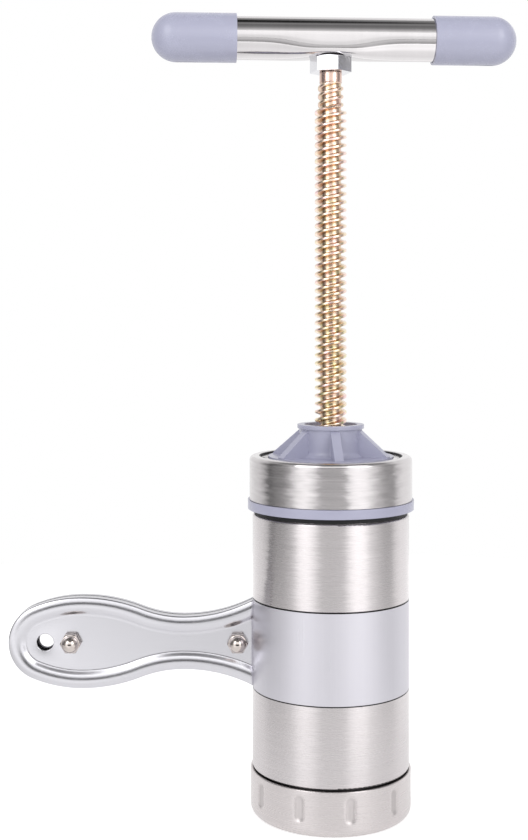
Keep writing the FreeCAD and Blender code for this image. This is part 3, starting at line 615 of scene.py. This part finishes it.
# The handle's two shells, pressed with a rolled bead round a flat panel.
handle = {
    "middle": (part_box("handle_bolt_outer")[0][2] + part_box("handle_bolt_outer")[1][2]) / 2,
    "reach": -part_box("handle_shell_front")[0][0],
    "bulb": 95.1 * mm,
    "half": 17.4 * mm,
    "tip": 14.7 * mm,
    "waist": 56.2 * mm,
    "waistHalf": 10.1 * mm,
    "shoulder": 62.0 * mm,
    "flare": 58.5 * mm,
    "root": 29.2 * mm,
    "steps": 16,
    "wall": 0.72 * mm,
    "seamHalf": 0.12 * mm,
    "sideDepth": 3.4 * mm,
    "crestDepth": 4.5 * mm,
    "crestInset": 2.8 * mm,
    "crestRadius": 5.6 * mm,
    "edgeDegrees": 23.0,
    "panelDepth": 3.0 * mm,
    "panelInset": 6.95 * mm,
    "holeReach": 109.4 * mm,
    "holeRadius": {-1: 3.2 * mm, 1: 2.95 * mm},
    "holeRoll": 0.35 * mm,
}


# Inset from the outline and depth from the middle plane, from the seam to the panel.
def pressedSection(settings):
    side = settings["sideDepth"]
    section = [(0.0, settings["seamHalf"]), (0.0, (settings["seamHalf"] + side) / 2), (0.0, side)]
    crest = settings["crestInset"]
    arc = settings["crestRadius"]
    top = settings["crestDepth"]
    edge = math.radians(settings["edgeDegrees"])
    shoulder = (crest - arc * math.sin(edge), top - arc + arc * math.cos(edge))
    for step in range(1, 7):
        angle = math.radians(90) + (edge - math.radians(90)) * step / 6
        across = (1 - math.sin(angle)) / (1 - math.sin(edge)) * shoulder[0]
        section.append((across, side + math.cos(angle) / math.cos(edge) * (shoulder[1] - side)))
    for step in range(1, 13):
        angle = edge - 2 * edge * step / 12
        section.append((crest - arc * math.sin(angle), top - arc + arc * math.cos(angle)))
    start, high = section[-1]
    floor = settings["panelDepth"]
    slope = ((0.15, 0.14), (0.43, 0.51), (0.70, 0.86), (0.80, 0.94), (0.90, 0.985), (1.0, 1.0))
    width = settings["panelInset"] - start
    for across, down in slope:
        section.append((start + width * across, high + (floor - high) * down))
    section.append((settings["panelInset"] + 0.5 * mm, floor))
    return section


# The bulb, waist and flare as tangent arcs, from the top of the root round to its foot.
def handleOutline(settings, inset):
    reach = settings["reach"] - inset
    half = settings["half"] - inset
    tip = settings["tip"] - inset
    run = reach - settings["bulb"]
    side = ((run - tip) ** 2 + half**2 - tip**2) / (2 * (half - tip))
    waistHalf = settings["waistHalf"] - inset
    gap = settings["bulb"] - settings["waist"]
    swing = 2 * math.atan2(half - waistHalf, gap)
    shoulder = settings["shoulder"] - inset
    hollow = gap / math.sin(swing) - shoulder
    flare = settings["flare"] + inset
    lean = math.asin((settings["waist"] - settings["root"]) / flare)
    tipEnd = math.pi - math.atan2(side - half, run - tip)
    arcs = [
        (-reach + tip, 0.0, tip, math.pi, tipEnd),
        (-settings["bulb"], half - side, side, tipEnd, math.pi / 2),
        (-settings["bulb"], half - shoulder, shoulder, math.pi / 2, math.pi / 2 - swing),
        (-settings["waist"], waistHalf + hollow, hollow, 1.5 * math.pi - swing, 1.5 * math.pi),
        (-settings["waist"], waistHalf + flare, flare, 1.5 * math.pi, 1.5 * math.pi + lean),
    ]
    points = []
    for x, z, radius, start, stop in arcs:
        for step in range(settings["steps"]):
            angle = start + (stop - start) * step / settings["steps"]
            points.append((x + radius * math.cos(angle), z + radius * math.sin(angle)))
    x, z, radius, start, stop = arcs[-1]
    points.append((x + radius * math.cos(stop), z + radius * math.sin(stop)))
    below = [(px, -pz) for px, pz in points[1:]]
    return list(reversed(points)) + below


# One shell: the pressed rim, the rolled hole and the flat panel between them.
def buildShell(work, settings, side):
    middle = settings["middle"]
    rings = []
    for inset, depth in pressedSection(settings):
        rings.append([(x, side * depth, z + middle) for x, z in handleOutline(settings, inset)])
    made = skinRings(work, rings, closed=False)

    roll = settings["holeRoll"]
    floor = settings["panelDepth"]
    holeRings = []
    for step in range(7):
        angle = math.radians(90 * step / 6)
        reach = settings["holeRadius"][side] + roll - roll * math.sin(angle)
        holeRings.append((reach, floor - roll + roll * math.cos(angle)))
    circles = []
    for radius, depth in holeRings:
        circle = []
        for step in range(48):
            angle = 2 * math.pi * step / 48
            x = -settings["holeReach"] + radius * math.cos(angle)
            circle.append((x, side * depth, radius * math.sin(angle) + middle))
        circles.append(circle)
    rim = skinRings(work, circles)[0]

    inner = made[-1]
    loop = [work.edges.new((inner[-1], inner[0]))]
    for first, second in list(zip(inner, inner[1:])) + list(zip(rim, rim[1:] + rim[:1])):
        edge = work.edges.get((first, second))
        loop.append(edge or work.edges.new((first, second)))
    bmesh.ops.triangle_fill(work, edges=loop, use_beauty=True)
    faceTo(work, (0, side, 0))


print("handle")
for word, side in (("front", -1), ("back", 1)):
    shellMesh = meshFrom(f"handleShell_{word}", lambda work: buildShell(work, handle, side))
    shellPiece = newPiece(f"handleShell_{word}", shellMesh, finishes["handleSteel"])
    smoothByAngle(shellPiece, 40)
    sheet = shellPiece.modifiers.new("sheet", "SOLIDIFY")
    sheet.thickness = handle["wall"]
    sheet.offset = -1.0
    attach(shellPiece, "barrel")
    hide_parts(f"handle_shell_{word}")


# Domed cap nuts on the handle, one on each bolt.
capNut = {
    "acrossFlats": 7.0 * mm,
    "height": 3.1 * mm,
    "domeRadius": 3.2 * mm,
    "domeRise": 3.0 * mm,
    "reaches": (99.4 * mm, 35.7 * mm),
    "face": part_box("cap_nut_outer")[1][1],
    "turn": math.radians(30),
}


# Rings of a hexagon cut back to a round limit, so that its corners are chamfered.
def hexRings(acrossFlats, levels, turn, segments=96):
    rings = []
    for height, limit in levels:
        loop = []
        for step in range(segments):
            angle = 2 * math.pi * step / segments
            off = (angle + math.pi / 6) % (math.pi / 3) - math.pi / 6
            radius = min(acrossFlats / 2 / math.cos(off), limit)
            loop.append((radius * math.cos(angle + turn), radius * math.sin(angle + turn), height))
        rings.append(loop)
    return rings


def buildCapNut(work):
    half = capNut["acrossFlats"] / 2
    corner = half / math.cos(math.pi / 6)
    top = capNut["height"]
    levels = [
        (0.0, half * 0.98), (0.25 * mm, half * 1.06), (0.5 * mm, corner), (top - 0.6 * mm, corner),
        (top - 0.3 * mm, half * 1.07), (top, half * 0.99), (top + 0.08 * mm, half * 0.93),
    ]
    for step in range(13):
        angle = math.radians(90 * step / 12)
        rise = top + 0.3 * mm + capNut["domeRise"] * math.sin(angle)
        levels.append((rise, max(capNut["domeRadius"] * math.cos(angle), 1e-5)))
    rings = hexRings(capNut["acrossFlats"], levels, capNut["turn"])
    skinRings(work, rings, capStart=True, capEnd=True)
    bmesh.ops.recalc_face_normals(work, faces=work.faces)


# Sets one mesh at each of a list of places, then makes one plain mesh of them.
def scatterTree(name, source, spots, turn, material):
    tree, maker, given = newTree(name, {"size": 1.0}, ("size",))
    carried = maker.node("GeometryNodeObjectInfo", {"transform_space": "ORIGINAL"}, {"Object": source})
    joined = maker.node("GeometryNodeJoinGeometry")
    for spot in spots:
        inputs = {"Count": 1, "Start Location": spot}
        point = maker.node("GeometryNodeMeshLine", {"mode": "OFFSET"}, inputs)
        tree.links.new(point.outputs[0], joined.inputs[0])
    placed = maker.node("GeometryNodeInstanceOnPoints", {}, {
        "Points": joined.outputs[0],
        "Instance": carried.outputs["Geometry"],
        "Rotation": turn,
        "Scale": given[0],
    })
    endTree(maker, placed.outputs[0], material)
    return tree


print("nuts")
nutSource = newPiece("capNutSource", meshFrom("capNutSource", buildCapNut))
spots = [(-reach, capNut["face"], handle["middle"]) for reach in capNut["reaches"]]
capTree = scatterTree("capNuts", nutSource, spots, (math.pi / 2, 0.0, 0.0), finishes["nickel"])
capMesh = meshFromTree("capNuts", capTree)
bpy.data.objects.remove(nutSource)
capPiece = newPiece("capNuts", capMesh, finishes["nickel"])
smoothByAngle(capPiece, 28)
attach(capPiece, "barrel")
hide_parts("cap_nut_outer", "cap_nut_inner")


# The retaining ring: a turned cap whose wall is pressed in at even dimples.
ring = {
    "outer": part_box("retaining_ring")[1][0],
    "height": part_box("retaining_ring")[1][2],
    "wall": 1.1 * mm,
    "lip": 1.3 * mm,
    "opening": 25.0 * mm,
    "round": 3.0 * mm,
    "rim": 0.3 * mm,
    "floorReach": 0.9 * mm,
    "edgeReach": 2.5 * mm,
    "depth": 0.42 * mm,
    "skin": 0.2 * mm,
    "rowHeight": 0.42 * mm,
    "segments": 480,
}


# The ring's wall cut through: reach and height, from the top rim down the outside and back up.
def ringSection(settings):
    outer = settings["outer"]
    top = settings["height"]
    curve = settings["round"]
    rim = settings["rim"]
    inner = outer - settings["wall"]
    section = []
    for step in range(5):
        angle = math.radians(90 * step / 4)
        section.append((outer - rim + rim * math.sin(angle), top - rim + rim * math.cos(angle)))
    rows = int((top - rim - curve) / settings["rowHeight"])
    for step in range(1, rows):
        section.append((outer, top - rim - (top - rim - curve) * step / rows))
    for step in range(11):
        angle = math.radians(90 * step / 10)
        section.append((outer - curve + curve * math.cos(angle), curve - curve * math.sin(angle)))
    low = settings["opening"]
    lip = settings["lip"]
    section += [(low + rim, 0.0), (low + rim * 0.3, rim * 0.3), (low, rim), (low, lip - rim)]
    section += [(low + rim * 0.3, lip - rim * 0.3), (low + rim, lip)]
    inside = curve - settings["wall"]
    for step in range(7):
        angle = math.radians(90 * step / 6)
        reach = inner - inside + inside * math.sin(angle)
        section.append((reach, lip + inside - inside * math.cos(angle)))
    section += [(inner, top * 0.5), (inner, top - rim)]
    section += [(inner + rim * 0.3, top - rim * 0.3), (inner + rim, top)]
    return section


def buildRing(work):
    section = ringSection(ring)
    rings = []
    for step in range(ring["segments"]):
        angle = 2 * math.pi * step / ring["segments"]
        rings.append([(r * math.cos(angle), r * math.sin(angle), z) for r, z in section])
    rings.append(rings[0])
    skinRings(work, rings)
    bmesh.ops.remove_doubles(work, verts=work.verts, dist=1e-7)
    bmesh.ops.recalc_face_normals(work, faces=work.faces)


# Presses the dimples into the outer wall.
def dimpleTree(settings, source, material):
    words = ("floorReach", "edgeReach", "depth")
    tree, maker, given = newTree("ringDimples", settings, words)
    floorReach, edgeReach, depth = given
    carried = maker.node("GeometryNodeObjectInfo", {"transform_space": "ORIGINAL"}, {"Object": source})
    x, y, z = maker.split(maker.node("GeometryNodeInputPosition").outputs[0])
    radius = (x * x + y * y).maths("SQRT")
    away = dimpleReach(maker, dimples, x, y, z)
    wall = radius.above(settings["outer"] - settings["skin"])
    pressed = (1.0 - away.eased(floorReach, edgeReach)) * depth * wall
    kept = 1.0 - pressed / radius
    place = maker.vector(x * kept, y * kept, z)
    inputs = {"Geometry": carried.outputs["Geometry"], "Position": place}
    moved = maker.node("GeometryNodeSetPosition", {}, inputs)
    endTree(maker, moved.outputs[0], material)
    return tree


print("ring")
ringSource = newPiece("ringSource", meshFrom("ringSource", buildRing))
ringMesh = meshFromTree("retainingRing", dimpleTree(ring, ringSource, finishes["ringSteel"]))
bpy.data.objects.remove(ringSource)
ringPiece = newPiece("retainingRing", ringMesh, finishes["ringSteel"])
smoothByAngle(ringPiece, 50)
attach(ringPiece, "ring")
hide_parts("retaining_ring")


# The crossbar: a tube whose underside is dented and squared off where the lock nut seats.
crossbar = {
    "radius": 8.3 * mm,
    "wall": 2.0 * mm,
    "length": 104.0 * mm,
    "offset": 1.7 * mm,
    "angle": math.radians(3.5),
    "dent": 1.25 * mm,
    "dentHalf": 10.0 * mm,
    "squareHalf": 13.0 * mm,
    "square": 2.6,
    "segments": 112,
    "rows": 150,
}


def buildCrossbar(work):
    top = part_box("crossbar_tube")[1][2]
    radius = crossbar["radius"]
    cosine = math.cos(crossbar["angle"])
    sine = math.sin(crossbar["angle"])
    rings = []
    for row in range(crossbar["rows"] + 1):
        along = crossbar["offset"] + crossbar["length"] * (row / crossbar["rows"] - 0.5)
        press = crossbar["dent"] * math.exp(-((along / crossbar["dentHalf"]) ** 2))
        power = 2 / (2 + crossbar["square"] * math.exp(-((along / crossbar["squareHalf"]) ** 2)))
        loop = []
        for step in range(crossbar["segments"]):
            angle = 2 * math.pi * step / crossbar["segments"]
            side = radius * math.cos(angle)
            rise = radius * math.sin(angle)
            if rise < 0:
                side = math.copysign(radius * abs(math.cos(angle)) ** power, side)
                rise = (press - radius) * abs(math.sin(angle)) ** power
            x = along * cosine - side * sine
            y = along * sine + side * cosine
            loop.append((x, y, top - radius + rise))
        rings.append(loop)
    skinRings(work, rings)
    bmesh.ops.recalc_face_normals(work, faces=work.faces)
    middle = Vector((crossbar["offset"], 0, top - radius))
    if sum(face.normal.dot(face.calc_center_median() - middle) for face in work.faces) < 0:
        bmesh.ops.reverse_faces(work, faces=work.faces)


print("crossbar")
barPiece = newPiece("crossbarTube", meshFrom("crossbarTube", buildCrossbar), finishes["crossbarSteel"])
smoothByAngle(barPiece, 50)
barWall = barPiece.modifiers.new("wall", "SOLIDIFY")
barWall.thickness = crossbar["wall"]
barWall.offset = -1.0
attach(barPiece, "screw")
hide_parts("crossbar_tube")


# Edges of the CAD nodes that are kept: the width, the angle that counts as an edge, the steps.
softEdges = {
    "lid_core": (0.35 * mm, 35, 3),
    "grip_left": (0.3 * mm, 50, 3),
    "grip_right": (0.3 * mm, 50, 3),
    "lock_nut": (0.18 * mm, 25, 2),
    "handle_bolt_outer": (0.5 * mm, 50, 4),
    "handle_bolt_inner": (0.5 * mm, 50, 4),
    "spindle_nut": (0.3 * mm, 50, 2),
}


def softenNode(name, width, degrees, steps):
    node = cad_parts[name]
    weld = node.modifiers.new("weld", "WELD")
    weld.merge_threshold = 1e-6
    bevel = node.modifiers.new("edges", "BEVEL")
    bevel.width = width
    bevel.segments = steps
    bevel.limit_method = "ANGLE"
    bevel.angle_limit = math.radians(degrees)


print("edges")
for nodeName, (width, degrees, steps) in softEdges.items():
    softenNode(nodeName, width, degrees, steps)


studio = {
    "floorRadius": 0.55,
    "floorColour": (0.93, 0.93, 0.93, 1),
    "glow": 0.42,
    "ambient": 0.74,
    # what the metal sees in the floor: close to the object, further out, and at the floor's edge
    "near": 0.62,
    "farRise": (0.10, 0.24),
    "farWalls": 0.50,
    "farLight": 0.20,
    "edgeRise": (0.40, 0.48),
    "edgeLight": 0.25,
    # what the metal sees all round: degrees from the camera's side, and brightness
    "walls": [
        (-180, 1.0), (-146, 1.0), (-122, 0.86), (-110, 0.60), (-98, 0.10), (-86, 0.21), (-74, 0.27),
        (-62, 0.56), (-50, 1.24), (-38, 1.46), (-26, 1.05), (-14, 0.62), (-2, 0.56), (10, 0.78),
        (22, 1.20), (34, 1.54), (46, 1.46), (58, 1.0), (70, 0.62), (82, 0.40), (94, 0.39),
        (106, 0.90), (118, 1.10), (142, 1.1), (180, 1.0),
    ],
    # and ahead of it: height on the sky's ball, and brightness
    "ahead": [
        (-1.0, 0.30), (-0.47, 0.34), (-0.38, 0.50), (-0.24, 0.74), (-0.115, 0.84), (-0.095, 0.08),
        (0.10, 0.08), (0.17, 0.30), (0.30, 0.40), (0.45, 0.40), (0.52, 0.95), (0.63, 0.58),
        (0.78, 0.26), (0.90, 0.18), (0.965, 0.30), (0.978, 0.22), (0.988, 0.02), (1.0, 0.02),
    ],
    # where the light ahead gives way to the walls (degrees), and where it rises (height)
    "centreEdge": (14.0, 26.0),
    "upperEdge": (58.0, 86.0),
    "upperRise": (0.26, 0.50),
    "sidesEdge": (135.0, 165.0),
    "sidesRise": (0.42, 0.72),
    "topRise": (0.84, 0.95),
}

softboxes = {
    "frontBox": {"place": (0.0, -0.66, 0.455), "aim": (0.0, 0.0, 0.455),
                 "size": (1.7, 0.44), "power": 2.3},
    "leftBox": {"place": (-0.68, -0.76, 0.79), "aim": (0.0, 0.0, 0.15),
                "size": (0.5, 0.7), "power": 2.6},
    "rightBox": {"place": (0.68, -0.76, 0.79), "aim": (0.0, 0.0, 0.15),
                 "size": (0.5, 0.7), "power": 2.6},
}


# Brightness along a list of places, as a field.
def lightAlong(maker, where, low, high, lights):
    stops = [((place - low) / (high - low), (light / 1.6,) * 3) for place, light in lights]
    ramp = maker.node("ShaderNodeValToRGB", {"stops": stops}, {0: (where - low) / (high - low)})
    return maker.field(maker.node("ShaderNodeRGBToBW", {}, {0: ramp.outputs[0]})) * 1.6


# Degrees round from the camera's side.
def bearing(x, y):
    return x.maths("ARCTAN2", y * -1.0) * (180 / math.pi)


def buildWorld():
    world = bpy.data.worlds.new("studio")
    bpy.context.scene.world = world
    world.use_nodes = True
    tree = world.node_tree
    tree.nodes.clear()
    maker = Maker(tree)
    x, y, z = maker.split(maker.node("ShaderNodeTexCoord").outputs["Generated"])
    degrees = bearing(x, y)
    aside = degrees.maths("ABSOLUTE")
    walls = lightAlong(maker, degrees, -180, 180, studio["walls"])
    ahead = lightAlong(maker, z, -1, 1, studio["ahead"])
    share = 1.0 - aside.eased(*studio["centreEdge"])
    upper = z.eased(*studio["upperRise"]) * (1.0 - aside.eased(*studio["upperEdge"]))
    sides = z.eased(*studio["sidesRise"]) * (1.0 - aside.eased(*studio["sidesEdge"]))
    for other in (upper, sides, z.eased(*studio["topRise"])):
        share = share.maths("MAXIMUM", other)
    light = walls + (ahead - walls) * share
    skies = []
    for strength in (light, studio["ambient"], 1.0):
        inputs = {"Color": (1, 1, 1, 1), "Strength": strength}
        skies.append(maker.node("ShaderNodeBackground", {}, inputs).outputs[0])
    mirrored, plain, white = skies
    rays = maker.node("ShaderNodeLightPath")
    seen = maker.node("ShaderNodeMixShader", {}, {
        0: rays.outputs["Is Glossy Ray"],
        1: plain,
        2: mirrored,
    })
    mixed = maker.node("ShaderNodeMixShader", {}, {
        0: rays.outputs["Is Camera Ray"],
        1: seen.outputs[0],
        2: white,
    })
    maker.node("ShaderNodeOutputWorld", {}, {0: mixed.outputs[0]})


def buildFloor():
    material, maker = newMaterial("floorWhite")
    rays = maker.node("ShaderNodeLightPath")
    x, y, z = maker.place()
    walls = lightAlong(maker, bearing(x, y), -180, 180, studio["walls"])
    reach = (x * x + y * y).maths("SQRT")
    far = reach.eased(*studio["farRise"])
    edge = reach.eased(*studio["edgeRise"]) * studio["edgeLight"]
    change = walls * studio["farWalls"] + studio["farLight"] - studio["near"]
    level = change * far + studio["near"] + edge
    paint = maker.node("ShaderNodeBsdfDiffuse", {}, {"Color": studio["floorColour"]})
    glow = maker.node("ShaderNodeEmission", {}, {"Color": (1, 1, 1, 1), "Strength": studio["glow"]})
    sheen = maker.node("ShaderNodeEmission", {}, {"Color": (1, 1, 1, 1), "Strength": level})
    both = maker.node("ShaderNodeAddShader", {}, {0: paint.outputs[0], 1: glow.outputs[0]})
    soft = maker.node("ShaderNodeBsdfDiffuse", {}, {"Color": (0.5, 0.5, 0.5, 1)})
    mirrored = maker.node("ShaderNodeAddShader", {}, {0: soft.outputs[0], 1: sheen.outputs[0]})
    metal = maker.node("ShaderNodeMixShader", {}, {
        0: rays.outputs["Is Glossy Ray"],
        1: paint.outputs[0],
        2: mirrored.outputs[0],
    })
    mixed = maker.node("ShaderNodeMixShader", {}, {
        0: rays.outputs["Is Camera Ray"],
        1: metal.outputs[0],
        2: both.outputs[0],
    })
    maker.node("ShaderNodeOutputMaterial", {}, {0: mixed.outputs[0]})

    def build(work):
        bmesh.ops.create_circle(work, cap_ends=True, radius=studio["floorRadius"], segments=96)

    floor = newPiece("floor", meshFrom("floor", build), material)


# A flat lamp at its place, turned to shine at its aim.
def addSoftbox(name, settings):
    lamp = bpy.data.lights.new(name, "AREA")
    lamp.shape = "RECTANGLE"
    lamp.size, lamp.size_y = settings["size"]
    lamp.energy = settings["power"]
    box = bpy.data.objects.new(name, lamp)
    box.location = settings["place"]
    away = Vector(settings["place"]) - Vector(settings["aim"])
    box.rotation_euler = away.to_track_quat("Z", "Y").to_euler()
    bpy.context.scene.collection.objects.link(box)


camera = {
    "place": (-0.02565, -0.513, 0.1896),
    "focalPixels": 1333.0,
    "frame": (528, 840),
    "horizon": 316.0,
}


def addCamera():
    lens = bpy.data.cameras.new("camera")
    width, height = camera["frame"]
    lens.sensor_width = 36.0
    lens.lens = camera["focalPixels"] / height * 36.0
    lens.shift_y = (camera["horizon"] - height / 2) / height
    lens.clip_start = 0.01
    piece = bpy.data.objects.new("camera", lens)
    piece.location = camera["place"]
    piece.rotation_euler = (math.pi / 2, 0, 0)
    bpy.context.scene.collection.objects.link(piece)
    bpy.context.scene.camera = piece


print("studio")
buildWorld()
buildFloor()
for boxName, boxSettings in softboxes.items():
    addSoftbox(boxName, boxSettings)
addCamera()
bpy.context.scene.view_settings.view_transform = "Standard"
